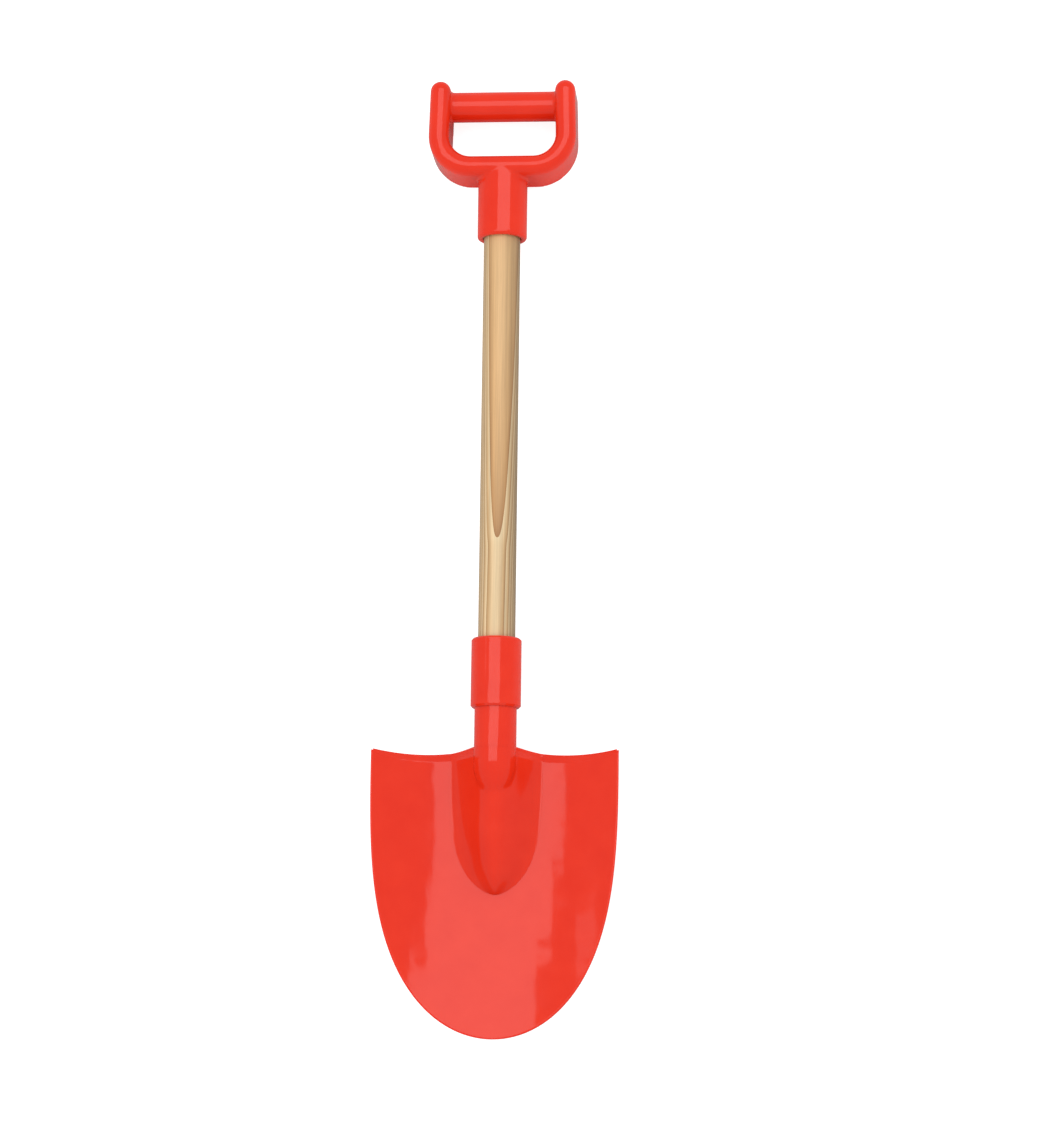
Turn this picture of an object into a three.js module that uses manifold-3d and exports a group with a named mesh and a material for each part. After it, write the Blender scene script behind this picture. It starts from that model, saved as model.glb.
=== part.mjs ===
// Child's digging shovel: a moulded D-handle and a moulded dished blade on a round wooden shaft.
// Millimetres, +Z up. The shovel lies on its back: X runs across it, Y along the shaft towards
// the handle and Z out of its front. The origin is under the middle of its box, on the surface
// that it lies on.
import * as THREE from 'three';
import { mergeVertices } from 'three/addons/utils/BufferGeometryUtils.js';
import Module from 'manifold-3d';

const wasm = await Module();
wasm.setup();

// Shaft
const SHAFT_DIAMETER = 23;
const SHAFT_VISIBLE = 254.5;
const SHAFT_CHAMFER = 1.5;
const SOCKET_CLEARANCE = 0.3;

// D-handle
const HANDLE_WIDTH = 93.6;
const HANDLE_DEPTH = 32;
const YOKE_THICKNESS = 13;
const YOKE_CORNER_RADIUS = 27;
const PRONG_LEAN = 1.5 * Math.PI / 180;
const PRONG_RISE = 4.5;
const GRIP_DIAMETER = 19;
const FINGER_GAP = 26;
const HANDLE_SOCKET_WALL = 3.8;
const HANDLE_SOCKET_LENGTH = 39;
const HANDLE_SOCKET_DEPTH = 38;
const SOCKET_LIP_ROUND = 1.4;
const HANDLE_WALL = 2.8;
const HANDLE_RIB = 2.2;
const YOKE_POCKETS = 4;
const GRIP_POCKETS = 3;
const GRIP_WALL = 3.3;
const YOKE_WEB_WIDTH = 24;

// Blade
const BLADE_WIDTH = 152;
const BLADE_LENGTH = 175;
const BLADE_WALL = 2.4;
const BLADE_TAPER = 3.2;
const DISH_DEPTH = 19;
const TIP_LIFT = 12;
const TIP_LIFT_START = 2.6;
const TOP_EDGE_SAG = 7.4;
const TOP_EDGE_RISE = 0.9;
const TREAD_RADIUS = 1.7;
const FROG_WIDTH = 57;
const FROG_LENGTH = 87.5;
const FROG_HEIGHT = 24;
const FROG_TAPER = 4;
const FROG_FALL = 2;
const FROG_ROUND = 0.6;
const FROG_FLANK = 1.4;
const FROG_CREST = 0.32;
const FROG_BROADER = 0.35;
const FROG_BROAD_SHARE = 0.4;
const COLLAR_WALL = 3.7;
const COLLAR_LENGTH = 43;
const COLLAR_DEPTH = 41;
const COLLAR_CHAMFER = 1.2;
const SHAFT_STOP = 1.2;
const NECK_WALL = 2.4;
const NECK_LENGTH = 26;
const NOSE_REACH = 26;
const NOSE_LENGTH = 24;

// Screws
const SCREW_HEAD_DIAMETER = 6;
const SCREW_SHANK_DIAMETER = 2.9;
const SCREW_LENGTH = 11.5;
const SCREW_POINT = 2.5;
const SCREW_RECESS = 0.5;
const SCREW_SLOT_LENGTH = 3.6;
const SCREW_SLOT_WIDTH = 0.9;
const SCREW_SLOT_DEPTH = 1;
const SCREW_CLEARANCE = 0.3;

// Fineness of the round stretches
const ROUND_SEGMENTS = 40;
const SMALL_SEGMENTS = 16;
const YOKE_STEPS = 44;
const YOKE_ROUND_STEPS = 5;
const POCKET_STEPS = 4;
const POCKET_ROUND_STEPS = 2;
const OUTLINE_STEPS = 24;
const TREAD_STEPS = 12;
const TREAD_ROUND_STEPS = 4;
const QUARTER_STEPS = 6;
const SLAB_COLUMNS = 28;
const SLAB_ROWS = 36;
const SLAB_MIDDLE_SHARE = 0.45;
const OVERRUN = 1;

// Stations along the shaft, counted from the blade's tip
const bladeTop = BLADE_LENGTH;
const collarStart = bladeTop + NECK_LENGTH;
const collarTop = collarStart + COLLAR_LENGTH;
const handleRim = collarTop + SHAFT_VISIBLE;
const yokeUnderside = handleRim + HANDLE_SOCKET_LENGTH;
const fingerFloor = yokeUnderside + YOKE_THICKNESS;
const gripAxis = fingerFloor + FINGER_GAP + GRIP_DIAMETER / 2;
const prongTop = gripAxis + GRIP_DIAMETER / 2 + PRONG_RISE;
const shaftBottom = collarTop - COLLAR_DEPTH + SOCKET_CLEARANCE;
const shaftTop = handleRim + HANDLE_SOCKET_DEPTH - SOCKET_CLEARANCE;

// Sizes that follow from the fits
const socketBore = SHAFT_DIAMETER / 2 + SOCKET_CLEARANCE;
const handleSocketRadius = socketBore + HANDLE_SOCKET_WALL;
const collarRadius = socketBore + COLLAR_WALL;
const neckBore = socketBore - SHAFT_STOP;
const neckRadius = neckBore + NECK_WALL;
const axisHeight = Math.max(HANDLE_DEPTH / 2, handleSocketRadius, collarRadius);
const prongRadius = YOKE_THICKNESS / 2;
const dishRadius = (BLADE_WIDTH ** 2 / 4 + DISH_DEPTH ** 2) / (2 * DISH_DEPTH);

// A closed geometry as a solid that can be joined and cut.
function solid(geometry) {
  const bare = geometry.clone();
  bare.deleteAttribute('normal');
  bare.deleteAttribute('uv');
  const merged = mergeVertices(bare, 1e-4);
  return new wasm.Manifold(new wasm.Mesh({
    numProp: 3,
    vertProperties: new Float32Array(merged.attributes.position.array),
    triVerts: new Uint32Array(merged.index.array),
  }));
}

// A named mesh from a finished solid.
function piece(name, body, material) {
  const { vertProperties, triVerts } = body.getMesh();
  const geometry = new THREE.BufferGeometry();
  geometry.setAttribute('position', new THREE.BufferAttribute(new Float32Array(vertProperties), 3));
  geometry.setIndex(new THREE.BufferAttribute(new Uint32Array(triVerts), 1));
  geometry.computeVertexNormals();
  const mesh = new THREE.Mesh(geometry, material);
  mesh.name = name;
  return mesh;
}

// A body of revolution about the shaft's axis, from [radius, station] points.
function turned(profile, segments = ROUND_SEGMENTS) {
  const points = profile.map(([radius, station]) => new THREE.Vector2(radius, station));
  return new THREE.LatheGeometry(points, segments).translate(0, 0, axisHeight);
}

// Quarter of an ellipse, from the tangent along the axis to the tangent across it.
function quarter(steps, place) {
  return Array.from({ length: steps + 1 }, (_, i) => place(i / steps * Math.PI / 2));
}

function plasticRed() {
  return new THREE.MeshStandardMaterial({ color: 0xee3f30, roughness: 0.25, metalness: 0 });
}

function pine() {
  return new THREE.MeshStandardMaterial({ color: 0xdeb67f, roughness: 0.5, metalness: 0 });
}

function zincSteel() {
  return new THREE.MeshStandardMaterial({ color: 0xb9bcc0, roughness: 0.35, metalness: 1 });
}

// Screw that enters from the back, at a station, through a socket wall of the given radius.
// grow widens it all round, which gives the hole that it sits in.
function screwBody(station, socketRadius, grow) {
  const head = SCREW_HEAD_DIAMETER / 2 + grow;
  const shank = SCREW_SHANK_DIAMETER / 2 + grow;
  const face = axisHeight - socketRadius + SCREW_RECESS;
  const mouth = grow > 0 ? face - SCREW_RECESS - socketRadius : face;
  const neck = face + (SCREW_HEAD_DIAMETER - SCREW_SHANK_DIAMETER) / 2;
  const point = face + SCREW_LENGTH + grow;
  const profile = [
    [0, mouth], [head, mouth], [head, face], [shank, neck], [shank, point - SCREW_POINT], [0, point],
  ];
  const points = profile.map(([radius, height]) => new THREE.Vector2(radius, height));
  return solid(new THREE.LatheGeometry(points, SMALL_SEGMENTS).rotateX(Math.PI / 2)
    .translate(0, station, 0));
}

function screw(name, station, socketRadius) {
  const face = axisHeight - socketRadius + SCREW_RECESS;
  const slot = (length, width) => solid(
    new THREE.BoxGeometry(length, width, 2 * SCREW_SLOT_DEPTH).translate(0, station, face));
  const body = screwBody(station, socketRadius, 0)
    .subtract(slot(SCREW_SLOT_LENGTH, SCREW_SLOT_WIDTH))
    .subtract(slot(SCREW_SLOT_WIDTH, SCREW_SLOT_LENGTH));
  return piece(name, body, zincSteel());
}

const handleScrewStation = handleRim + HANDLE_SOCKET_LENGTH / 2;
const collarScrewStation = collarStart + COLLAR_LENGTH / 2;
const screwHoles = () => [
  screwBody(handleScrewStation, handleSocketRadius, SCREW_CLEARANCE),
  screwBody(collarScrewStation, collarRadius, SCREW_CLEARANCE),
];

function shaft() {
  const radius = SHAFT_DIAMETER / 2;
  let body = solid(turned([
    [0, shaftBottom], [radius - SHAFT_CHAMFER, shaftBottom], [radius, shaftBottom + SHAFT_CHAMFER],
    [radius, shaftTop - SHAFT_CHAMFER], [radius - SHAFT_CHAMFER, shaftTop], [0, shaftTop],
  ]));
  for (const hole of screwHoles()) {
    body = body.subtract(hole);
  }
  return piece('shaft', body, pine());
}

// Centre line of the yoke: down one prong, round the bottom and up the other.
function yokePath() {
  const side = HANDLE_WIDTH / 2 - prongRadius;
  const radius = YOKE_CORNER_RADIUS - prongRadius;
  const floor = yokeUnderside + prongRadius;
  const prongEnd = prongTop - prongRadius;
  const cornerX = side - radius;
  const bend = new THREE.Vector2(Math.cos(PRONG_LEAN), Math.sin(PRONG_LEAN)).multiplyScalar(radius);
  const rootX = cornerX + bend.x;
  const rootY = floor + radius + bend.y;
  const endX = rootX - (prongEnd - rootY) * Math.tan(PRONG_LEAN);
  const place = (x, y) => new THREE.Vector3(x, y, 0);
  const arc = (x, from, to) => {
    const flat = new THREE.ArcCurve(x, floor + radius, radius, from, to, false);
    const points = flat.getPoints(SMALL_SEGMENTS).map((p) => place(p.x, p.y));
    return new THREE.CatmullRomCurve3(points);
  };
  const path = new THREE.CurvePath();
  path.add(new THREE.LineCurve3(place(-endX, prongEnd), place(-rootX, rootY)));
  path.add(arc(-cornerX, Math.PI - PRONG_LEAN, Math.PI * 1.5));
  path.add(new THREE.LineCurve3(place(-cornerX, floor), place(cornerX, floor)));
  path.add(arc(cornerX, Math.PI * 1.5, Math.PI * 2 + PRONG_LEAN));
  path.add(new THREE.LineCurve3(place(rootX, rootY), place(endX, prongEnd)));
  return path;
}

// Section of the yoke: flat at the back, full round at the front.
function yokeSection(radius, back, front) {
  const section = new THREE.Shape();
  section.moveTo(-back, -radius);
  section.lineTo(-back, radius);
  section.lineTo(radius - front, radius);
  section.absarc(radius - front, 0, radius, Math.PI / 2, Math.PI * 1.5, false);
  return section;
}

function sweep(section, path, steps, roundSteps) {
  return solid(new THREE.ExtrudeGeometry(section, { steps, extrudePath: path, curveSegments: roundSteps }));
}

// Round top of a prong: the yoke's section turned about the prong's end.
function prongEnd(point) {
  const points = [new THREE.Vector2(0, 0), new THREE.Vector2(prongRadius, 0)];
  const front = HANDLE_DEPTH - prongRadius;
  points.push(...quarter(QUARTER_STEPS, (a) => new THREE.Vector2(
    prongRadius * Math.cos(a), front + prongRadius * Math.sin(a))));
  return solid(new THREE.LatheGeometry(points, SMALL_SEGMENTS).rotateX(Math.PI / 2)
    .translate(point.x, point.y, 0));
}

// Cored-out pockets at the back of the yoke, split by ribs, clear of the middle web.
function yokePockets(path) {
  const length = path.getLength();
  const start = prongRadius;
  const end = (length - YOKE_WEB_WIDTH) / 2;
  const pitch = (end - start + HANDLE_RIB) / YOKE_POCKETS;
  const section = yokeSection(prongRadius - HANDLE_WALL, -OVERRUN, HANDLE_DEPTH - HANDLE_WALL);
  const pockets = [];
  for (let i = 0; i < YOKE_POCKETS; i += 1) {
    const from = start + i * pitch;
    const to = from + pitch - HANDLE_RIB;
    const points = [];
    for (let step = 0; step <= POCKET_STEPS; step += 1) {
      points.push(path.getPointAt((from + (to - from) * step / POCKET_STEPS) / length));
    }
    const mirrored = points.map((p) => new THREE.Vector3(-p.x, p.y, p.z));
    for (const side of [points, mirrored]) {
      pockets.push(sweep(section, new THREE.CatmullRomCurve3(side), POCKET_STEPS, POCKET_ROUND_STEPS));
    }
  }
  return pockets;
}

// Cored-out pockets at the back of the cross grip.
function gripPockets() {
  const half = GRIP_DIAMETER / 2 - GRIP_WALL;
  const clear = HANDLE_WIDTH - 2 * YOKE_THICKNESS - 2 * HANDLE_RIB;
  const length = (clear + HANDLE_RIB) / GRIP_POCKETS - HANDLE_RIB;
  const section = new THREE.Shape();
  section.moveTo(-half, -GRIP_DIAMETER);
  section.lineTo(half, -GRIP_DIAMETER);
  section.absarc(0, 0, half, 0, Math.PI, false);
  return Array.from({ length: GRIP_POCKETS }, (_, i) => {
    const from = -clear / 2 + i * (length + HANDLE_RIB);
    const cut = new THREE.ExtrudeGeometry(section, {
      depth: length, bevelEnabled: false, curveSegments: QUARTER_STEPS,
    });
    return solid(cut.rotateX(Math.PI / 2).rotateZ(Math.PI / 2).translate(from, gripAxis, axisHeight));
  });
}

function dHandle() {
  const path = yokePath();
  let body = sweep(yokeSection(prongRadius, 0, HANDLE_DEPTH), path, YOKE_STEPS, YOKE_ROUND_STEPS);
  body = body.add(prongEnd(path.getPointAt(0))).add(prongEnd(path.getPointAt(1)));
  const gripLength = HANDLE_WIDTH - YOKE_THICKNESS;
  const grip = new THREE.CylinderGeometry(GRIP_DIAMETER / 2, GRIP_DIAMETER / 2, gripLength, ROUND_SEGMENTS);
  body = body.add(solid(grip.rotateZ(Math.PI / 2).translate(0, gripAxis, axisHeight)));
  const inner = handleSocketRadius - SOCKET_LIP_ROUND;
  const lip = quarter(QUARTER_STEPS, (a) => [
    inner + SOCKET_LIP_ROUND * Math.sin(a), handleRim + SOCKET_LIP_ROUND * (1 - Math.cos(a))]);
  const socketTop = yokeUnderside + prongRadius;
  body = body.add(solid(turned([[0, handleRim], ...lip, [handleSocketRadius, socketTop], [0, socketTop]])));
  for (const pocket of [...yokePockets(path), ...gripPockets()]) {
    body = body.subtract(pocket);
  }
  body = body.subtract(solid(turned([
    [0, handleRim - OVERRUN], [socketBore, handleRim - OVERRUN],
    [socketBore, handleRim + HANDLE_SOCKET_DEPTH], [0, handleRim + HANDLE_SOCKET_DEPTH],
  ])));
  body = body.subtract(screwHoles()[0]);
  return piece('d_handle', body, plasticRed());
}

// Height of the raised frog over the dish, at a distance below the blade's top corners.
// Its crest is broad by the neck and narrow towards the tip.
function frogHeight(x, below) {
  const along = Math.max(below, 0) / FROG_LENGTH;
  if (along >= 1) {
    return 0;
  }
  const half = FROG_WIDTH / 2 * (1 - along ** FROG_TAPER) ** FROG_ROUND;
  const across = Math.abs(x) / half;
  if (across >= 1) {
    return 0;
  }
  const crest = FROG_CREST + FROG_BROADER * Math.max(1 - along / FROG_BROAD_SHARE, 0) ** 2;
  const edge = Math.hypot(1, crest);
  const share = (edge - Math.hypot(across, crest)) / (edge - crest);
  return FROG_HEIGHT * (1 - along ** FROG_FALL) ** FROG_ROUND * share ** FROG_FLANK;
}

// Front surface of the blade.
function bladeFront(x, station) {
  const below = BLADE_LENGTH - station;
  const dish = dishRadius - Math.sqrt(dishRadius ** 2 - x ** 2);
  const lift = TIP_LIFT * (Math.max(below, 0) / BLADE_LENGTH) ** TIP_LIFT_START;
  return BLADE_WALL + dish + lift + frogHeight(x, below);
}

// The blade's sheet before it is trimmed: a slab bent to the front surface, finest in the middle.
function bladeSlab() {
  const slab = new THREE.BoxGeometry(2, 2, 1, SLAB_COLUMNS, SLAB_ROWS, 1);
  const position = slab.attributes.position;
  const halfWidth = BLADE_WIDTH / 2 + OVERRUN;
  for (let i = 0; i < position.count; i += 1) {
    const u = position.getX(i);
    const x = halfWidth * (SLAB_MIDDLE_SHARE * u + (1 - SLAB_MIDDLE_SHARE) * u ** 3);
    const station = (BLADE_LENGTH / 2 + 2 * OVERRUN) * (position.getY(i) + 1) - 2 * OVERRUN;
    const back = position.getZ(i) < 0 ? BLADE_WALL : 0;
    position.setXYZ(i, x, station, bladeFront(x, station) - back);
  }
  return solid(slab);
}

// Outline of the blade seen from the front.
function bladeOutline() {
  const half = BLADE_WIDTH / 2;
  const side = quarter(OUTLINE_STEPS, (angle) => new THREE.Vector2(
    half * Math.cos(angle - Math.PI / 2), BLADE_LENGTH * (1 - Math.cos(angle) ** (2 / BLADE_TAPER))));
  const outline = new THREE.Shape(side);
  const middle = half / 2 + neckRadius / 2;
  const neckY = bladeTop + TOP_EDGE_RISE;
  outline.quadraticCurveTo(middle, bladeTop - TOP_EDGE_SAG, neckRadius, neckY);
  outline.lineTo(-neckRadius, neckY);
  outline.quadraticCurveTo(-middle, bladeTop - TOP_EDGE_SAG, -half, bladeTop);
  const mirrored = side.slice(1).reverse().map((p) => new THREE.Vector2(-p.x, p.y));
  return new THREE.Shape([...outline.getPoints(TREAD_STEPS), ...mirrored]);
}

// Rolled tread along one half of the blade's top edge.
function tread(sign) {
  const half = BLADE_WIDTH / 2 - TREAD_RADIUS;
  const edge = new THREE.QuadraticBezierCurve(
    new THREE.Vector2(half, bladeTop),
    new THREE.Vector2(half / 2 + neckRadius / 2, bladeTop - TOP_EDGE_SAG),
    new THREE.Vector2(neckBore, bladeTop + TOP_EDGE_RISE));
  const points = edge.getPoints(TREAD_STEPS).map((p) => {
    const station = p.y - TREAD_RADIUS;
    return new THREE.Vector3(sign * p.x, station, bladeFront(p.x, station) - BLADE_WALL / 2);
  });
  const section = new THREE.Shape().absarc(0, 0, TREAD_RADIUS, 0, Math.PI * 2, false);
  const path = new THREE.CatmullRomCurve3(points);
  return sweep(section, path, TREAD_STEPS, TREAD_ROUND_STEPS);
}

function blade() {
  const rise = BLADE_WALL + DISH_DEPTH + TIP_LIFT + FROG_HEIGHT;
  const outline = new THREE.ExtrudeGeometry(bladeOutline(), { depth: rise + OVERRUN, bevelEnabled: false });
  let body = bladeSlab().intersect(solid(outline.translate(0, 0, -OVERRUN)));
  body = body.add(tread(1)).add(tread(-1));
  const noseEnd = bladeTop - NOSE_REACH;
  const nose = quarter(QUARTER_STEPS, (a) => [
    neckRadius * Math.sin(a), noseEnd + NOSE_LENGTH * (1 - Math.cos(a))]);
  body = body.add(solid(turned([
    ...nose, [neckRadius, collarStart],
    [collarRadius - COLLAR_CHAMFER, collarStart], [collarRadius, collarStart + COLLAR_CHAMFER],
    [collarRadius, collarTop - COLLAR_CHAMFER], [collarRadius - COLLAR_CHAMFER, collarTop], [0, collarTop],
  ])));
  const seat = collarTop - COLLAR_DEPTH;
  const boreEnd = bladeTop - NOSE_REACH + NOSE_LENGTH;
  body = body.subtract(solid(turned([
    [0, boreEnd], [neckBore, boreEnd], [neckBore, seat], [socketBore, seat],
    [socketBore, collarTop + OVERRUN], [0, collarTop + OVERRUN],
  ])));
  body = body.subtract(screwHoles()[1]);
  return piece('blade', body, plasticRed());
}

const shovel = new THREE.Group();
shovel.add(
  dHandle(),
  shaft(),
  blade(),
  screw('handle_screw', handleScrewStation, handleSocketRadius),
  screw('collar_screw', collarScrewStation, collarRadius),
);
shovel.position.y = -prongTop / 2;

export default shovel;
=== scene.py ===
"""Child's digging shovel: a red moulded D-handle and dished blade on a round pine shaft.

It lies on its back on a pale studio floor, with its front up and its handle towards +Y.
Everything is in metres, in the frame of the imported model.
"""
import math

import bmesh
import bpy
from mathutils import Matrix, Vector


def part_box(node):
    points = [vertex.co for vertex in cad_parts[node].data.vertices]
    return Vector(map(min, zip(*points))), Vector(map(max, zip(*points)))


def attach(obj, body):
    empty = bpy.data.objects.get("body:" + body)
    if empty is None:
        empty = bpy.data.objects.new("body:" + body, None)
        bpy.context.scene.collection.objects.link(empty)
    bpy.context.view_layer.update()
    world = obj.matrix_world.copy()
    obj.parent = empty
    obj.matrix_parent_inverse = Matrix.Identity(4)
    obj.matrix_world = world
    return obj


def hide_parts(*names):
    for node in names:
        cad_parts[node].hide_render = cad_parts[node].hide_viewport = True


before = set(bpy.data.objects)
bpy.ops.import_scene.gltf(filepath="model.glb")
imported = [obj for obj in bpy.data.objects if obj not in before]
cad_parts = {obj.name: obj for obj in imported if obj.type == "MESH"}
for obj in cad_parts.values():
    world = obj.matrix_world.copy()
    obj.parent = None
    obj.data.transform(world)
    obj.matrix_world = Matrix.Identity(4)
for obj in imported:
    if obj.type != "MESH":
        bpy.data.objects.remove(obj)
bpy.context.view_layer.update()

MM = 0.001
HANDLE_LOW, HANDLE_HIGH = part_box("d_handle")
SHAFT_LOW, SHAFT_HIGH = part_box("shaft")
BLADE_LOW, BLADE_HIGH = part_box("blade")

# Shaft and the fits round it
AXIS_Z = (SHAFT_LOW.z + SHAFT_HIGH.z) / 2
SHAFT_RADIUS = (SHAFT_HIGH.x - SHAFT_LOW.x) / 2
SHAFT_CHAMFER = 1.5 * MM
SOCKET_BORE = SHAFT_RADIUS + 0.3 * MM
COLLAR_TOP = BLADE_HIGH.y
HANDLE_RIM = HANDLE_LOW.y

# D-handle
HANDLE_WIDTH = HANDLE_HIGH.x - HANDLE_LOW.x
HANDLE_DEPTH = HANDLE_HIGH.z - HANDLE_LOW.z
YOKE_THICKNESS = 13 * MM
YOKE_RADIUS = YOKE_THICKNESS / 2
YOKE_CORNER = 27 * MM - YOKE_RADIUS
PRONG_LEAN = math.radians(1.5)
GRIP_RADIUS = 9.5 * MM
GRIP_Y = HANDLE_HIGH.y - 4.5 * MM - GRIP_RADIUS
FINGER_GAP = 26 * MM
YOKE_FLOOR = GRIP_Y - GRIP_RADIUS - FINGER_GAP - YOKE_RADIUS
HANDLE_SOCKET_RADIUS = SOCKET_BORE + 3.8 * MM
HANDLE_SOCKET_DEPTH = 38 * MM
SOCKET_LIP = 1.4 * MM
HANDLE_WALL = 2.8 * MM
HANDLE_RIB = 2.2 * MM
YOKE_WEB = 12 * MM
YOKE_POCKETS = 4
GRIP_POCKETS = 3

# Blade
BLADE_HALF = (BLADE_HIGH.x - BLADE_LOW.x) / 2
BLADE_TIP = BLADE_LOW.y
BLADE_LENGTH = 175 * MM
BLADE_TOP = BLADE_TIP + BLADE_LENGTH
BLADE_WALL = 2.4 * MM
BLADE_TAPER = 3.2
DISH_DEPTH = 19 * MM
DISH_RADIUS = (BLADE_HALF ** 2 + DISH_DEPTH ** 2) / (2 * DISH_DEPTH)
TIP_LIFT = 12 * MM
TIP_LIFT_START = 2.6
EDGE_SAG = 3.3 * MM
EDGE_RISE = 0.9 * MM
EDGE_ROLL = 1.2 * MM
EDGE_SLIMMER = 0.2
LIP_HEIGHT = 4.3 * MM
LIP_SLOPE = 0.5
LIP_SLIMMER = 0.6
LIP_RUN = 1.3 * LIP_HEIGHT
LIP_ROWS = 0.1
ROW_CROWDING = 1.7
RIM_ROUND = 1.1 * MM
FROG_HALF = 28.5 * MM
FROG_LENGTH = 87.5 * MM
FROG_HEIGHT = 24 * MM
FROG_TAPER = 4
FROG_FALL = 2
FROG_ROUND = 0.6
FROG_FLANK = 1.4
FROG_CREST = 0.32
FROG_BROADER = 0.35
FROG_BROAD_SHARE = 0.4
NECK_BLEND = 8 * MM
FROG_BURIED = 0.15 * MM
COLLAR_RADIUS = SOCKET_BORE + 3.7 * MM
COLLAR_START = COLLAR_TOP - 43 * MM
COLLAR_SEAT = COLLAR_TOP - 41 * MM
COLLAR_CHAMFER = 1.2 * MM
NECK_BORE = SOCKET_BORE - 1.2 * MM
NECK_RADIUS = NECK_BORE + 2.4 * MM
NOSE_END = BLADE_TOP - 26 * MM
NOSE_LENGTH = 24 * MM
NOSE_BLUNT = 3.2
NECK_SUNK = 0.6 * MM

# Screws
SCREW_HEAD = 3 * MM
SCREW_SHANK = 1.45 * MM
SCREW_POINT = 2.5 * MM
SCREW_CLEARANCE = 0.3 * MM
SLOT_LENGTH = 3.6 * MM
SLOT_WIDTH = 0.9 * MM
SLOT_DEPTH = 1 * MM

# Fineness
HANDLE_VOXEL = 0.7 * MM
ROUND_STEPS = 96
SHEET_COLUMNS, SHEET_ROWS = 120, 130
FROG_COLUMNS, FROG_ROWS = 130, 110
EDGE_STEPS = 120


# ---------------------------------------------------------------- mesh helpers

def new_mesh_object(name, bm):
    """Closes off a bmesh as an object: seams merged and faces turned outwards."""
    bmesh.ops.remove_doubles(bm, verts=bm.verts, dist=0.01 * MM)
    bmesh.ops.recalc_face_normals(bm, faces=bm.faces)
    mesh = bpy.data.meshes.new(name)
    bm.to_mesh(mesh)
    bm.free()
    piece = bpy.data.objects.new(name, mesh)
    bpy.context.scene.collection.objects.link(piece)
    return piece


def edge_loop(bm, points, closed=True):
    """Edges through a few points."""
    verts = [bm.verts.new(p) for p in points]
    pairs = zip(verts, verts[1:] + verts[:1]) if closed else zip(verts, verts[1:])
    return [bm.edges.new(pair) for pair in pairs]


def made_of(kind, made):
    return [g for g in made if isinstance(g, kind)]


def quarter_round(steps, place):
    """Points round a quarter turn, each placed by its angle."""
    return [place(step / steps * math.pi / 2) for step in range(steps + 1)]


def turned(name, profile, steps=ROUND_STEPS):
    """A body turned about the shaft's axis from (radius, station) points."""
    bm = bmesh.new()
    edges = edge_loop(bm, [(0, station, AXIS_Z + radius) for radius, station in profile], closed=False)
    geometry = edges + list({v for e in edges for v in e.verts})
    bmesh.ops.spin(bm, geom=geometry, cent=(0, 0, AXIS_Z), axis=(0, 1, 0),
                   angle=2 * math.pi, steps=steps, use_merge=True)
    return new_mesh_object(name, bm)


def bake(piece):
    """Bakes a piece's modifiers into its mesh."""
    graph = bpy.context.evaluated_depsgraph_get()
    mesh = bpy.data.meshes.new_from_object(piece.evaluated_get(graph))
    piece.modifiers.clear()
    piece.data = mesh


def combine(piece, other, operation):
    """Adds another closed body to a piece, or cuts it out, and drops the other body."""
    change = piece.modifiers.new("change", "BOOLEAN")
    change.operation = operation
    change.solver = "MANIFOLD"
    change.object = other
    bake(piece)
    bpy.data.objects.remove(other)


def soften(piece, voxel, rounds):
    """Rebuilds a piece's surface finely, with soft inside and outside corners."""
    fuse = piece.modifiers.new("fuse", "REMESH")
    fuse.mode = "VOXEL"
    fuse.voxel_size = voxel
    fuse.use_smooth_shade = True
    relax = piece.modifiers.new("relax", "SMOOTH")
    relax.factor = 0.5
    relax.iterations = rounds
    bake(piece)


def smooth_shaded(piece, angle):
    """Smooth shading that keeps edges sharper than the angle."""
    piece.data.shade_smooth()
    piece.data.set_sharp_from_angle(angle=math.radians(angle))


def mirrored_across(bm):
    bmesh.ops.mirror(bm, geom=bm.verts[:] + bm.edges[:] + bm.faces[:], axis="X", merge_dist=0.01 * MM)


# ---------------------------------------------------------------- D-handle

def yoke_section(radius, back, front, steps=24):
    """Points of the yoke's section as (across, height): flat back, full-round front."""
    points = [(-radius, back), (0, back), (radius, back)]
    for step in range(steps + 1):
        angle = step / steps * math.pi
        points.append((radius * math.cos(angle), front - radius + radius * math.sin(angle)))
    return points


def spin_on(bm, edges, centre, angle, steps):
    """Carries a loop of edges round a centre in the yoke's plane and returns its new edges."""
    verts = list({v for e in edges for v in e.verts})
    made = bmesh.ops.spin(bm, geom=edges + verts, cent=centre, axis=(0, 0, 1), angle=angle, steps=steps)
    return made_of(bmesh.types.BMEdge, made["geom_last"])


def push_on(bm, edges, offset):
    """Carries a loop of edges straight on and returns its new edges."""
    made = bmesh.ops.extrude_edge_only(bm, edges=edges)["geom"]
    bmesh.ops.translate(bm, verts=made_of(bmesh.types.BMVert, made), vec=offset)
    return made_of(bmesh.types.BMEdge, made)


YOKE_SIDE = HANDLE_WIDTH / 2 - YOKE_RADIUS
CORNER = Vector((YOKE_SIDE - YOKE_CORNER, YOKE_FLOOR + YOKE_CORNER, 0))


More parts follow.
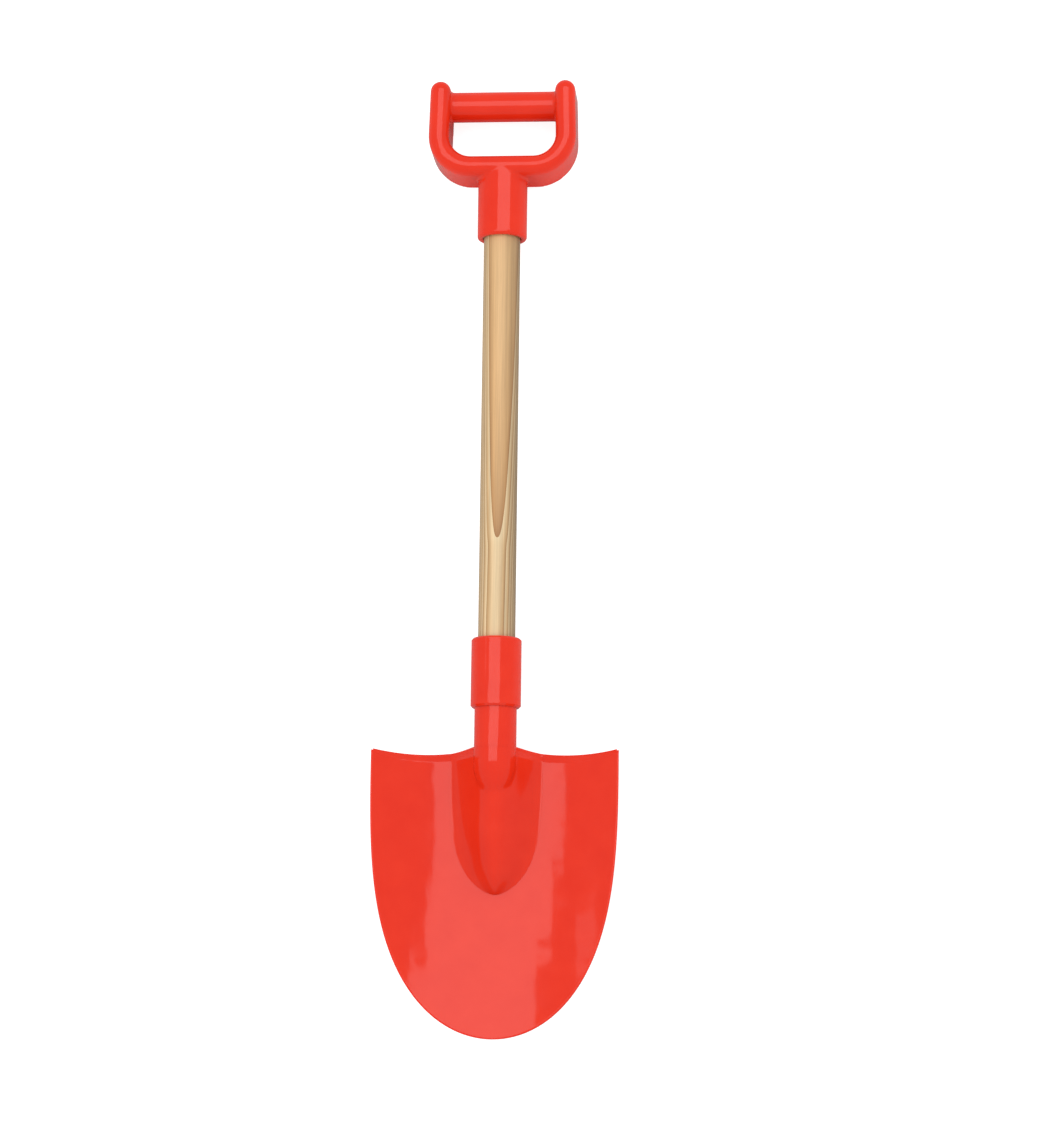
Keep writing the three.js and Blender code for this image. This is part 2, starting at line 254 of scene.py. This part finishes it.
def yoke():
    """The U-shaped yoke with its bullet-shaped prong ends."""
    bm = bmesh.new()
    section = yoke_section(YOKE_RADIUS, HANDLE_LOW.z, HANDLE_HIGH.z)
    loop = edge_loop(bm, [(0, YOKE_FLOOR - across, z) for across, z in section])
    loop = push_on(bm, loop, (CORNER.x, 0, 0))
    loop = spin_on(bm, loop, CORNER, math.pi / 2 + PRONG_LEAN, 40)
    root = CORNER + YOKE_CORNER * Vector((math.cos(PRONG_LEAN), math.sin(PRONG_LEAN), 0))
    rise = HANDLE_HIGH.y - YOKE_RADIUS - root.y
    along = Vector((-math.tan(PRONG_LEAN) * rise, rise, 0))
    loop = push_on(bm, loop, along)
    end = root + along
    outer = [e for e in loop if (e.verts[0].co + e.verts[1].co).x / 2 > end.x]
    inner = [e for e in loop if e not in outer]
    spin_on(bm, outer, end, math.pi / 2, 12)
    spin_on(bm, inner, end, -math.pi / 2, 12)
    mirrored_across(bm)
    return new_mesh_object("handle_moulding", bm)


def yoke_line(run):
    """Point and outward direction on the yoke's centre line, by the run from its middle."""
    arc = YOKE_CORNER * math.pi / 2
    if run <= CORNER.x:
        return Vector((run, YOKE_FLOOR, 0)), Vector((0, -1, 0))
    turn = min((run - CORNER.x) / arc, 1) * math.pi / 2
    outward = Vector((math.sin(turn), -math.cos(turn), 0))
    rest = max(run - CORNER.x - arc, 0)
    return CORNER + outward * YOKE_CORNER + Vector((0, rest, 0)), outward


def yoke_pockets():
    """Cored-out pockets in the back of the yoke, split by ribs and clear of the middle web."""
    bm = bmesh.new()
    last = CORNER.x + YOKE_CORNER * math.pi / 2 + HANDLE_HIGH.y - 2 * YOKE_RADIUS - CORNER.y
    pitch = (last - YOKE_WEB + HANDLE_RIB) / YOKE_POCKETS
    section = yoke_section(YOKE_RADIUS - HANDLE_WALL, HANDLE_LOW.z - MM, HANDLE_DEPTH - HANDLE_WALL, 12)
    for pocket in range(YOKE_POCKETS):
        start = YOKE_WEB + pocket * pitch
        rings = []
        for step in range(9):
            point, outward = yoke_line(start + (pitch - HANDLE_RIB) * step / 8)
            rings.append(edge_loop(bm, [point + outward * a + Vector((0, 0, z)) for a, z in section]))
        for first, second in zip(rings, rings[1:]):
            bmesh.ops.bridge_loops(bm, edges=first + second)
        for ring in (rings[0], rings[-1]):
            bmesh.ops.contextual_create(bm, geom=ring)
    mirrored_across(bm)
    return new_mesh_object("yoke_pockets", bm)


def grip_pockets():
    """Slots in the back of the cross grip."""
    bm = bmesh.new()
    half = GRIP_RADIUS - HANDLE_WALL
    clear = HANDLE_WIDTH - 2 * YOKE_THICKNESS - 2 * HANDLE_RIB
    length = (clear + HANDLE_RIB) / GRIP_POCKETS - HANDLE_RIB
    outline = yoke_section(half, -2 * GRIP_RADIUS, half, 12)
    for pocket in range(GRIP_POCKETS):
        start = -clear / 2 + pocket * (length + HANDLE_RIB)
        loop = edge_loop(bm, [(start, GRIP_Y + across, AXIS_Z + up) for across, up in outline])
        bmesh.ops.contextual_create(bm, geom=loop)
        loop = push_on(bm, loop, (length, 0, 0))
        bmesh.ops.contextual_create(bm, geom=loop)
    return new_mesh_object("grip_pockets", bm)


def grip():
    bm = bmesh.new()
    across = Matrix.Translation((0, GRIP_Y, AXIS_Z)) @ Matrix.Rotation(math.pi / 2, 4, "Y")
    bmesh.ops.create_cone(bm, cap_ends=True, segments=ROUND_STEPS, radius1=GRIP_RADIUS,
                          radius2=GRIP_RADIUS, depth=HANDLE_WIDTH - YOKE_THICKNESS, matrix=across)
    return new_mesh_object("grip", bm)


def handle_socket():
    inner = HANDLE_SOCKET_RADIUS - SOCKET_LIP
    lip = quarter_round(6, lambda a: (inner + SOCKET_LIP * math.sin(a),
                                      HANDLE_RIM + SOCKET_LIP * (1 - math.cos(a))))
    return turned("handle_socket", [(0, HANDLE_RIM)] + lip + [
        (HANDLE_SOCKET_RADIUS, YOKE_FLOOR), (0, YOKE_FLOOR)])


def d_handle():
    piece = yoke()
    combine(piece, grip(), "UNION")
    combine(piece, handle_socket(), "UNION")
    combine(piece, yoke_pockets(), "DIFFERENCE")
    combine(piece, grip_pockets(), "DIFFERENCE")
    depth = HANDLE_RIM + HANDLE_SOCKET_DEPTH
    combine(piece, turned("handle_bore", [
        (0, HANDLE_RIM - MM), (SOCKET_BORE, HANDLE_RIM - MM),
        (SOCKET_BORE, depth), (0, depth)]), "DIFFERENCE")
    combine(piece, screw_hole("handle_screw"), "DIFFERENCE")
    soften(piece, HANDLE_VOXEL, 8)
    return piece


# ---------------------------------------------------------------- blade

def blade_half_width(below):
    """Half width of the blade at a distance below its top corners."""
    return BLADE_HALF * math.sqrt(max(1 - (max(below, 0) / BLADE_LENGTH) ** BLADE_TAPER, 0))


def frog_half_width(below):
    """Half width of the frog at a distance below the blade's top corners."""
    return FROG_HALF * max(1 - (max(below, 0) / FROG_LENGTH) ** FROG_TAPER, 0) ** FROG_ROUND


def dish_hollow(x):
    """Height of the dish's round section over its middle."""
    return DISH_RADIUS - math.sqrt(DISH_RADIUS ** 2 - x ** 2)


def dish(x, below):
    """Height of the blade's front without its frog."""
    return BLADE_WALL + dish_hollow(x) + TIP_LIFT * (max(below, 0) / BLADE_LENGTH) ** TIP_LIFT_START


def frog_height(x, below):
    """Height of the frog over the dish: broad by the neck and narrow-crested towards its tip."""
    half = frog_half_width(below)
    if abs(x) >= half:
        return 0
    along = max(below, 0) / FROG_LENGTH
    round_crest = FROG_CREST + FROG_BROADER * max(1 - along / FROG_BROAD_SHARE, 0) ** 2
    edge = math.hypot(1, round_crest)
    share = (edge - math.hypot(x / half, round_crest)) / (edge - round_crest)
    crest = FROG_HEIGHT * (1 - along ** FROG_FALL) ** FROG_ROUND
    return crest * share ** FROG_FLANK


def neck_height(x, below):
    """Height of the neck's rounded end over the frog, or nothing beside it."""
    along = (below - (BLADE_TOP - NOSE_END - NOSE_LENGTH)) / NOSE_LENGTH
    radius = NECK_RADIUS * math.sqrt(max(1 - max(along, 0) ** NOSE_BLUNT, 0))
    return AXIS_Z + math.sqrt(radius ** 2 - x ** 2) if abs(x) < radius else 0


def blended(first, second, width):
    """The higher of two heights, with a soft hollow where they meet."""
    near = max(width - abs(first - second), 0) / width
    return max(first, second) + near ** 2 * width / 4


def lip_drop(x, inside):
    """How far the blade's top edge is bent back, at a distance inside it, without leaving its box."""
    height = LIP_HEIGHT * (1 - LIP_SLIMMER * (x / BLADE_HALF) ** 2)
    drop = LIP_SLOPE * max(height - inside, 0)
    room = dish_hollow(x)
    return drop * room / math.hypot(drop, room) if drop > 0 else 0


def top_edge(x):
    """How far the blade's top edge lies below its corners."""
    reach = (abs(x) - NECK_RADIUS) / (BLADE_HALF - NECK_RADIUS)
    if reach <= 0:
        return -EDGE_RISE
    return EDGE_SAG * 4 * reach * (1 - reach) - EDGE_RISE * (1 - reach)


def warped_grid(columns, rows, place):
    """A grid whose corners are placed by their shares across (-1 to 1) and down (0 to 1)."""
    bm = bmesh.new()
    grid = bmesh.ops.create_grid(bm, x_segments=columns, y_segments=rows, size=1)
    for vert in grid["verts"]:
        vert.co = place(vert.co.x, (1 - vert.co.y) / 2)
    return bm


def thickened(bm, name, depth):
    """Closes an open sheet by carrying it straight down."""
    made = bmesh.ops.extrude_face_region(bm, geom=bm.faces[:])["geom"]
    bmesh.ops.translate(bm, verts=made_of(bmesh.types.BMVert, made), vec=(0, 0, -depth))
    return new_mesh_object(name, bm)


def down_blade(down, length):
    """Distance inside the top edge by the share of rows, with the first tenth of them in the lip."""
    if down < LIP_ROWS:
        return LIP_RUN * down / LIP_ROWS
    rest = (down - LIP_ROWS) / (1 - LIP_ROWS)
    return LIP_RUN + (length - LIP_RUN) * (1 - (1 - rest) ** ROW_CROWDING)


def rim_drop(x, inside):
    """How far the blade's side rim is rounded back."""
    half = blade_half_width(inside)
    share = min(inside / BLADE_LENGTH, 0.9999)
    lean = BLADE_HALF * BLADE_TAPER / 2 * share ** (BLADE_TAPER - 1) / BLADE_LENGTH / math.sqrt(
        1 - share ** BLADE_TAPER)
    off = 1 - min((half - abs(x)) / math.hypot(1, lean) / RIM_ROUND, 1)
    return RIM_ROUND * (1 - math.sqrt(1 - off ** 2))


def blade_sheet():
    def place(across, down):
        inside = down_blade(down, BLADE_LENGTH)
        x = (1.5 * across - 0.5 * across ** 3) * blade_half_width(inside)
        below = inside + top_edge(x) * (1 - inside / BLADE_LENGTH) ** 2
        return x, BLADE_TOP - below, dish(x, below) - lip_drop(x, inside) - rim_drop(x, inside)
    return thickened(warped_grid(SHEET_COLUMNS, SHEET_ROWS, place), "blade_moulding", BLADE_WALL)


def frog(name, drop, foot):
    """The frog as a closed body whose flanks run a little into the dish."""
    def place(across, down):
        inside = down_blade(down, FROG_LENGTH)
        x = across * frog_half_width(inside)
        below = inside + top_edge(x) * (1 - inside / FROG_LENGTH) ** 2
        height = dish(x, below) + frog_height(x, inside) - lip_drop(x, inside)
        height = blended(height, neck_height(x, below), NECK_BLEND)
        return x, BLADE_TOP - below, height - drop
    return thickened(warped_grid(FROG_COLUMNS, FROG_ROWS, place), name, foot)


def rolled_edge():
    """The round bead along the blade's top edge, slimmer towards the corners."""
    bm = bmesh.new()
    rings = []
    reach = BLADE_HALF - EDGE_ROLL
    for step in range(EDGE_STEPS + 1):
        x = reach * (2 * step / EDGE_STEPS - 1)
        radius = EDGE_ROLL * (1 - EDGE_SLIMMER * abs(x) / reach)
        below = top_edge(x)
        z = dish(x, below) + frog_height(x, 0) - lip_drop(x, 0) - EDGE_ROLL
        turn = Matrix.Rotation(math.pi / 2, 4, "Y")
        ring = bmesh.ops.create_circle(bm, segments=16, radius=radius,
                                       matrix=Matrix.Translation((x, BLADE_TOP - below, z)) @ turn)
        rings.append(list({e for v in ring["verts"] for e in v.link_edges}))
    for first, second in zip(rings, rings[1:]):
        bmesh.ops.bridge_loops(bm, edges=first + second)
    for ring in (rings[0], rings[-1]):
        bmesh.ops.contextual_create(bm, geom=ring)
    return new_mesh_object("rolled_edge", bm)


def blade_socket():
    """Collar, neck and the neck's end, which runs just under the frog's surface."""
    sunk = NECK_RADIUS - NECK_SUNK
    nose = quarter_round(12, lambda a: (sunk * math.sin(a), NOSE_END + NOSE_LENGTH * (1 - math.cos(a))))
    return turned("blade_socket", nose + [
        (sunk, BLADE_TOP - 0.5 * MM), (NECK_RADIUS, BLADE_TOP),
        (NECK_RADIUS, COLLAR_START), (COLLAR_RADIUS - COLLAR_CHAMFER, COLLAR_START),
        (COLLAR_RADIUS, COLLAR_START + COLLAR_CHAMFER), (COLLAR_RADIUS, COLLAR_TOP - COLLAR_CHAMFER),
        (COLLAR_RADIUS - COLLAR_CHAMFER, COLLAR_TOP), (0, COLLAR_TOP)])


def blade():
    piece = blade_sheet()
    combine(piece, frog("frog", FROG_BURIED, BLADE_WALL / 2), "UNION")
    combine(piece, frog("frog_hollow", BLADE_WALL + FROG_BURIED, 3 * BLADE_WALL), "DIFFERENCE")
    combine(piece, rolled_edge(), "UNION")
    combine(piece, blade_socket(), "UNION")
    floor_end = NOSE_END + NOSE_LENGTH
    combine(piece, turned("blade_bore", [
        (0, floor_end), (NECK_BORE, floor_end), (NECK_BORE, COLLAR_SEAT), (SOCKET_BORE, COLLAR_SEAT),
        (SOCKET_BORE, COLLAR_TOP + MM), (0, COLLAR_TOP + MM)]), "DIFFERENCE")
    combine(piece, screw_hole("collar_screw"), "DIFFERENCE")
    smooth_shaded(piece, 30)
    return piece


# ---------------------------------------------------------------- shaft and screws

def shaft():
    low, high = SHAFT_LOW.y, SHAFT_HIGH.y
    piece = turned("pine_shaft", [
        (0, low), (SHAFT_RADIUS - SHAFT_CHAMFER, low), (SHAFT_RADIUS, low + SHAFT_CHAMFER),
        (SHAFT_RADIUS, high - SHAFT_CHAMFER), (SHAFT_RADIUS - SHAFT_CHAMFER, high), (0, high)])
    combine(piece, screw_hole("handle_screw"), "DIFFERENCE")
    combine(piece, screw_hole("collar_screw"), "DIFFERENCE")
    smooth_shaded(piece, 30)
    return piece


def screw_body(name, node, grow):
    """A countersunk screw, or with some growth the hole that it sits in."""
    low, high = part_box(node)
    station = (low.y + high.y) / 2
    head, shank = SCREW_HEAD + grow, SCREW_SHANK + grow
    mouth = low.z - 10 * grow
    profile = [(0, mouth), (head, mouth), (head, low.z), (shank, low.z + SCREW_HEAD - SCREW_SHANK),
               (shank, high.z - SCREW_POINT), (0, high.z + grow)]
    bm = bmesh.new()
    edges = edge_loop(bm, [(radius, station, height) for radius, height in profile], closed=False)
    geometry = edges + list({v for e in edges for v in e.verts})
    bmesh.ops.spin(bm, geom=geometry, cent=(0, station, 0), axis=(0, 0, 1),
                   angle=2 * math.pi, steps=32, use_merge=True)
    return new_mesh_object(name, bm)


def screw_hole(node):
    return screw_body("screw_hole", node, SCREW_CLEARANCE)


def screw(node):
    """A countersunk screw with a cross recess, driven in from the back."""
    piece = screw_body(node + "_body", node, 0)
    low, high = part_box(node)
    station = (low.y + high.y) / 2
    for length, width in ((SLOT_LENGTH, SLOT_WIDTH), (SLOT_WIDTH, SLOT_LENGTH)):
        bm = bmesh.new()
        bmesh.ops.create_cube(bm, size=1, matrix=Matrix.LocRotScale(
            Vector((0, station, low.z)), None, Vector((length, width, 2 * SLOT_DEPTH))))
        combine(piece, new_mesh_object("slot", bm), "DIFFERENCE")
    smooth_shaded(piece, 30)
    return piece


# ---------------------------------------------------------------- materials

def principled(name):
    material = bpy.data.materials.new(name)
    material.use_nodes = True
    return material, material.node_tree, material.node_tree.nodes["Principled BSDF"]


def value_nodes(tree):
    """Short ways to add maths and links to a node tree."""
    def link(source, socket):
        if isinstance(source, (int, float, tuple)):
            socket.default_value = source
        else:
            tree.links.new(source, socket)

    def maths(operation, *inputs):
        node = tree.nodes.new("ShaderNodeMath")
        node.operation = operation
        for source, socket in zip(inputs, node.inputs):
            link(source, socket)
        return node.outputs[0]

    def noise(vector, scale, detail, rough=0.5):
        node = tree.nodes.new("ShaderNodeTexNoise")
        link(vector, node.inputs["Vector"])
        node.inputs["Scale"].default_value = scale
        node.inputs["Detail"].default_value = detail
        node.inputs["Roughness"].default_value = rough
        return node.outputs["Fac"]

    def stretched(vector, scale):
        node = tree.nodes.new("ShaderNodeVectorMath")
        node.operation = "MULTIPLY"
        link(vector, node.inputs[0])
        node.inputs[1].default_value = scale
        return node.outputs["Vector"]

    def ramp(value, stops):
        node = tree.nodes.new("ShaderNodeValToRGB")
        link(value, node.inputs["Fac"])
        elements = node.color_ramp.elements
        while len(elements) < len(stops):
            elements.new(1)
        for element, (position, colour) in zip(elements, stops):
            element.position = position
            element.color = colour
        return node.outputs["Color"]

    def bump(height, strength, distance):
        node = tree.nodes.new("ShaderNodeBump")
        link(height, node.inputs["Height"])
        node.inputs["Strength"].default_value = strength
        node.inputs["Distance"].default_value = distance
        return node

    return link, maths, noise, stretched, ramp, bump


def blend(tree, factor, first, second, kind):
    node = tree.nodes.new("ShaderNodeMix")
    node.data_type = "RGBA"
    node.blend_type = kind
    if isinstance(factor, float):
        node.inputs["Factor"].default_value = factor
    else:
        tree.links.new(factor, node.inputs["Factor"])
    tree.links.new(first, node.inputs["A"])
    tree.links.new(second, node.inputs["B"])
    return node.outputs["Result"]


def object_place(tree):
    return tree.nodes.new("ShaderNodeTexCoord").outputs["Object"]


def srgb(red, green, blue):
    """Linear colour of an 8-bit screen colour."""
    def linear(value):
        share = value / 255
        return share / 12.92 if share <= 0.04045 else ((share + 0.055) / 1.055) ** 2.4
    return linear(red), linear(green), linear(blue), 1


def red_plastic():
    """Glossy red moulding: slow sink-mark waves, faint flow mottling and fine rubbed scratches."""
    material, tree, shader = principled("gloss_red_plastic")
    link, maths, noise, stretched, ramp, bump = value_nodes(tree)
    place = object_place(tree)
    mottle = noise(place, 60, 3)
    link(ramp(mottle, [(0.3, (0.69, 0.023, 0.006, 1)), (0.7, (0.72, 0.028, 0.008, 1))]),
         shader.inputs["Base Color"])
    waves = bump(noise(place, 28, 2), 0.5, 0.8 * MM)
    rub = noise(stretched(place, (900, 60, 900)), 1, 3, 0.7)
    scratches = bump(rub, 0.03, 0.02 * MM)
    tree.links.new(waves.outputs["Normal"], scratches.inputs["Normal"])
    link(scratches.outputs["Normal"], shader.inputs["Normal"])
    wear = maths("MULTIPLY_ADD", noise(place, 130, 4, 0.65), 0.08, 0.04)
    link(wear, shader.inputs["Roughness"])
    return material


GRAIN_DEPTH = 70 * MM
GRAIN_SPACING = 1.55 * MM
TONGUE_TIP = 3 * MM
TONGUE_SPREAD = 0.0057
TONGUE_BLUNT = 2 * MM
TONGUE_LEAN = 0.083
TONGUE_SIDE = 3 * MM
TONGUE_DEPTH = 0.6 * MM
GRAIN_SWAY = 0.5 * MM
# How deep the painted shade on the dowel's long edges goes.
PAINTED_SHADE_DEPTH = 0.45


def varnished_pine():
    """Pine dowel: yearly rings seen as long lines, one as a broad tongue, with fine fibres, and painted
    shade towards its long edges.
    """
    material, tree, shader = principled("varnished_pine")
    link, maths, noise, stretched, ramp, bump = value_nodes(tree)
    place = object_place(tree)
    split = tree.nodes.new("ShaderNodeSeparateXYZ")
    link(place, split.inputs[0])
    beyond = maths("SUBTRACT", split.outputs["Y"], TONGUE_TIP)
    aside = maths("ADD", maths("MULTIPLY_ADD", beyond, TONGUE_LEAN, TONGUE_SIDE), split.outputs["X"])
    up = maths("SUBTRACT", split.outputs["Z"], AXIS_Z - GRAIN_DEPTH)
    from_pith = maths("SQRT", maths("ADD", maths("POWER", aside, 2.0), maths("POWER", up, 2.0)))
    above = maths("SQRT", maths("MULTIPLY_ADD", beyond, beyond, TONGUE_BLUNT ** 2))
    above = maths("MULTIPLY", maths("ADD", above, beyond), 0.5)
    spread = maths("MULTIPLY", maths("SQRT", above), TONGUE_SPREAD)
    sway = maths("MULTIPLY", noise(stretched(place, (70, 11, 70)), 1, 2), GRAIN_SWAY)
    ring = maths("ADD", maths("ADD", from_pith, spread), sway)
    ring = maths("SUBTRACT", ring, GRAIN_DEPTH + SHAFT_RADIUS + TONGUE_DEPTH)
    year = maths("FRACT", maths("ADD", maths("DIVIDE", ring, GRAIN_SPACING), 40.0))
    sapwood = ramp(year, [
        (0.0, srgb(166, 122, 76)), (0.12, srgb(184, 143, 96)), (0.35, srgb(203, 166, 118)),
        (0.7, srgb(218, 188, 144)), (1.0, srgb(224, 200, 157))])
    heart = ramp(maths("DIVIDE", ring, 3 * MM), [
        (0.0, srgb(166, 118, 70)), (0.1, srgb(184, 138, 88)), (0.35, srgb(200, 157, 106)),
        (1.0, srgb(208, 168, 118))])
    colour = blend(tree, maths("GREATER_THAN", ring, 0.0), sapwood, heart, "MIX")
    fibre = noise(stretched(place, (1500, 30, 1500)), 1, 4, 0.6)
    streak = noise(stretched(place, (420, 7, 420)), 1, 2, 0.5)
    shade = maths("MULTIPLY_ADD", fibre, 0.4, 0.77)
    shade = maths("MULTIPLY", shade, maths("MULTIPLY_ADD", streak, 0.6, 0.67))
    # Painted shade: the pine's colour is darkened towards both long edges of the dowel, more on its +X
    # side, where a round shaft falls into shade.
    edge_shade_reach = maths("ABSOLUTE", maths("ADD", split.outputs["X"], 1.5 * MM))
    edge_shade_reach = maths("POWER", maths("MULTIPLY", edge_shade_reach, 1 / SHAFT_RADIUS), 2.0)
    painted_edge_shade = maths("MULTIPLY_ADD", edge_shade_reach, -PAINTED_SHADE_DEPTH, 1.0)
    shade = maths("MULTIPLY", shade, painted_edge_shade)
    link(blend(tree, 1.0, colour, shade, "MULTIPLY"), shader.inputs["Base Color"])
    link(bump(fibre, 0.25, 0.05 * MM).outputs["Normal"], shader.inputs["Normal"])
    link(maths("MULTIPLY_ADD", fibre, 0.2, 0.34), shader.inputs["Roughness"])
    return material


def zinc_steel():
    """Zinc-plated steel with a faintly mottled plating."""
    material, tree, shader = principled("zinc_steel")
    link, maths, noise, _, ramp, _ = value_nodes(tree)
    place = object_place(tree)
    link(ramp(noise(place, 1500, 3), [(0.3, srgb(176, 180, 184)), (0.7, srgb(205, 206, 204))]),
         shader.inputs["Base Color"])
    shader.inputs["Metallic"].default_value = 1
    link(maths("MULTIPLY_ADD", noise(place, 2500, 3), 0.2, 0.22), shader.inputs["Roughness"])
    return material


# ---------------------------------------------------------------- studio

CAMERA_YAW = math.radians(4.5)
CAMERA_TILT = math.radians(10.16)
CAMERA_ROLL = math.radians(0.7)
CAMERA_DISTANCE = 1.9054
FOCAL_SHARE = 3080 / 1121
CAMERA_AIM = Vector((0.0179, -0.007, 0.0163))


def camera():
    """A long lens over the shovel's front, a little from its tip and from one side."""
    data = bpy.data.cameras.new("camera")
    data.sensor_width = 36
    data.lens = data.sensor_width * FOCAL_SHARE
    data.clip_start, data.clip_end = 0.05, 50
    eye = bpy.data.objects.new("camera", data)
    bpy.context.scene.collection.objects.link(eye)
    back = Vector((math.sin(CAMERA_YAW) * math.cos(CAMERA_TILT), -math.sin(CAMERA_TILT),
                   math.cos(CAMERA_YAW) * math.cos(CAMERA_TILT)))
    right = Vector((0, 1, 0)).cross(back).normalized()
    up = back.cross(right)
    turn = Matrix((right, up, back)).transposed() @ Matrix.Rotation(CAMERA_ROLL, 3, "Z")
    eye.matrix_world = Matrix.LocRotScale(CAMERA_AIM + back * CAMERA_DISTANCE, turn, None)
    bpy.context.scene.camera = eye


FLOOR_PALE = 0.9
FLOOR_CAMERA_DROP = 0.4
FLOOR_GLOSS_DROP = 0.52
FLOOR_GLOW = 0.8
FLOOR_UPLIGHT = 0.45


def floor():
    """Pale floor that glows to the camera and to soft light, and is darker in the gloss."""
    bm = bmesh.new()
    bmesh.ops.create_grid(bm, x_segments=1, y_segments=1, size=12)
    ground = new_mesh_object("studio_floor", bm)
    material, tree, shader = principled("pale_floor")
    link, maths = value_nodes(tree)[:2]
    shader.inputs["Roughness"].default_value = 0.9
    shader.inputs["Emission Color"].default_value = (1, 1, 1, 1)
    rays = tree.nodes.new("ShaderNodeLightPath")
    pale = maths("MULTIPLY_ADD", rays.outputs["Is Camera Ray"], -FLOOR_CAMERA_DROP, FLOOR_PALE)
    link(maths("MULTIPLY_ADD", rays.outputs["Is Glossy Ray"], -FLOOR_GLOSS_DROP, pale),
         shader.inputs["Base Color"])
    glow = maths("MULTIPLY", rays.outputs["Is Diffuse Ray"], FLOOR_UPLIGHT)
    link(maths("MULTIPLY_ADD", rays.outputs["Is Camera Ray"], FLOOR_GLOW, glow),
         shader.inputs["Emission Strength"])
    see_through = tree.nodes.new("ShaderNodeBsdfTransparent")
    side = tree.nodes.new("ShaderNodeNewGeometry")
    mix = tree.nodes.new("ShaderNodeMixShader")
    tree.links.new(side.outputs["Backfacing"], mix.inputs["Fac"])
    tree.links.new(shader.outputs["BSDF"], mix.inputs[1])
    tree.links.new(see_through.outputs["BSDF"], mix.inputs[2])
    tree.links.new(mix.outputs["Shader"], tree.nodes["Material Output"].inputs["Surface"])
    ground.data.materials.append(material)


ROOM_LIGHT = 1.08
ROOM_GLOSS_DROP = 0.66
LIGHT_HEIGHT = 3.0
KEY_RADIANCE = 1.3
SIDE_RADIANCE = 0.6


def softbox(name, low, high, radiance):
    """A rectangular softbox that faces down, between two corners at the light's height."""
    data = bpy.data.lights.new(name, "AREA")
    data.shape = "RECTANGLE"
    data.size, data.size_y = high[0] - low[0], high[1] - low[1]
    data.energy = radiance * math.pi * data.size * data.size_y
    lamp = bpy.data.objects.new(name, data)
    lamp.location = ((low[0] + high[0]) / 2, (low[1] + high[1]) / 2, LIGHT_HEIGHT)
    bpy.context.scene.collection.objects.link(lamp)


def lights():
    """An even room, darker to the gloss than to the colours, with softboxes overhead."""
    world = bpy.data.worlds.new("studio")
    world.use_nodes = True
    tree = world.node_tree
    link, maths = value_nodes(tree)[:2]
    rays = tree.nodes.new("ShaderNodeLightPath")
    tree.nodes["Background"].inputs["Color"].default_value = (1, 1, 1, 1)
    link(maths("MULTIPLY_ADD", rays.outputs["Is Glossy Ray"], -ROOM_GLOSS_DROP, ROOM_LIGHT),
         tree.nodes["Background"].inputs["Strength"])
    bpy.context.scene.world = world
    softbox("key_softbox_near", (-2.0, -0.04), (1.1, 0.35), KEY_RADIANCE)
    softbox("key_softbox_middle", (-1.65, 0.35), (1.25, 0.6), KEY_RADIANCE)
    softbox("key_softbox_far", (-1.3, 0.6), (1.7, 1.0), KEY_RADIANCE)
    softbox("key_softbox_end", (-1.0, 1.0), (2.5, 1.9), KEY_RADIANCE)
    softbox("side_softbox", (-3.4, 0.56), (-2.5, 0.8), SIDE_RADIANCE)


# ---------------------------------------------------------------- the shovel in its studio

camera()
bpy.context.scene.view_settings.view_transform = "Standard"
red = red_plastic()
pine = varnished_pine()
steel = zinc_steel()
for make, node, material, slot in (
        (d_handle, "d_handle", red, "red_plastic"),
        (shaft, "shaft", pine, "pine"),
        (blade, "blade", red, "red_plastic"),
        (lambda: screw("handle_screw"), "handle_screw", steel, "zinc_steel"),
        (lambda: screw("collar_screw"), "collar_screw", steel, "zinc_steel")):
    made = make()
    made.data.materials.clear()
    made.data.materials.append(material)
    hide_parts(node)
    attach(made, "root")
floor()
lights()
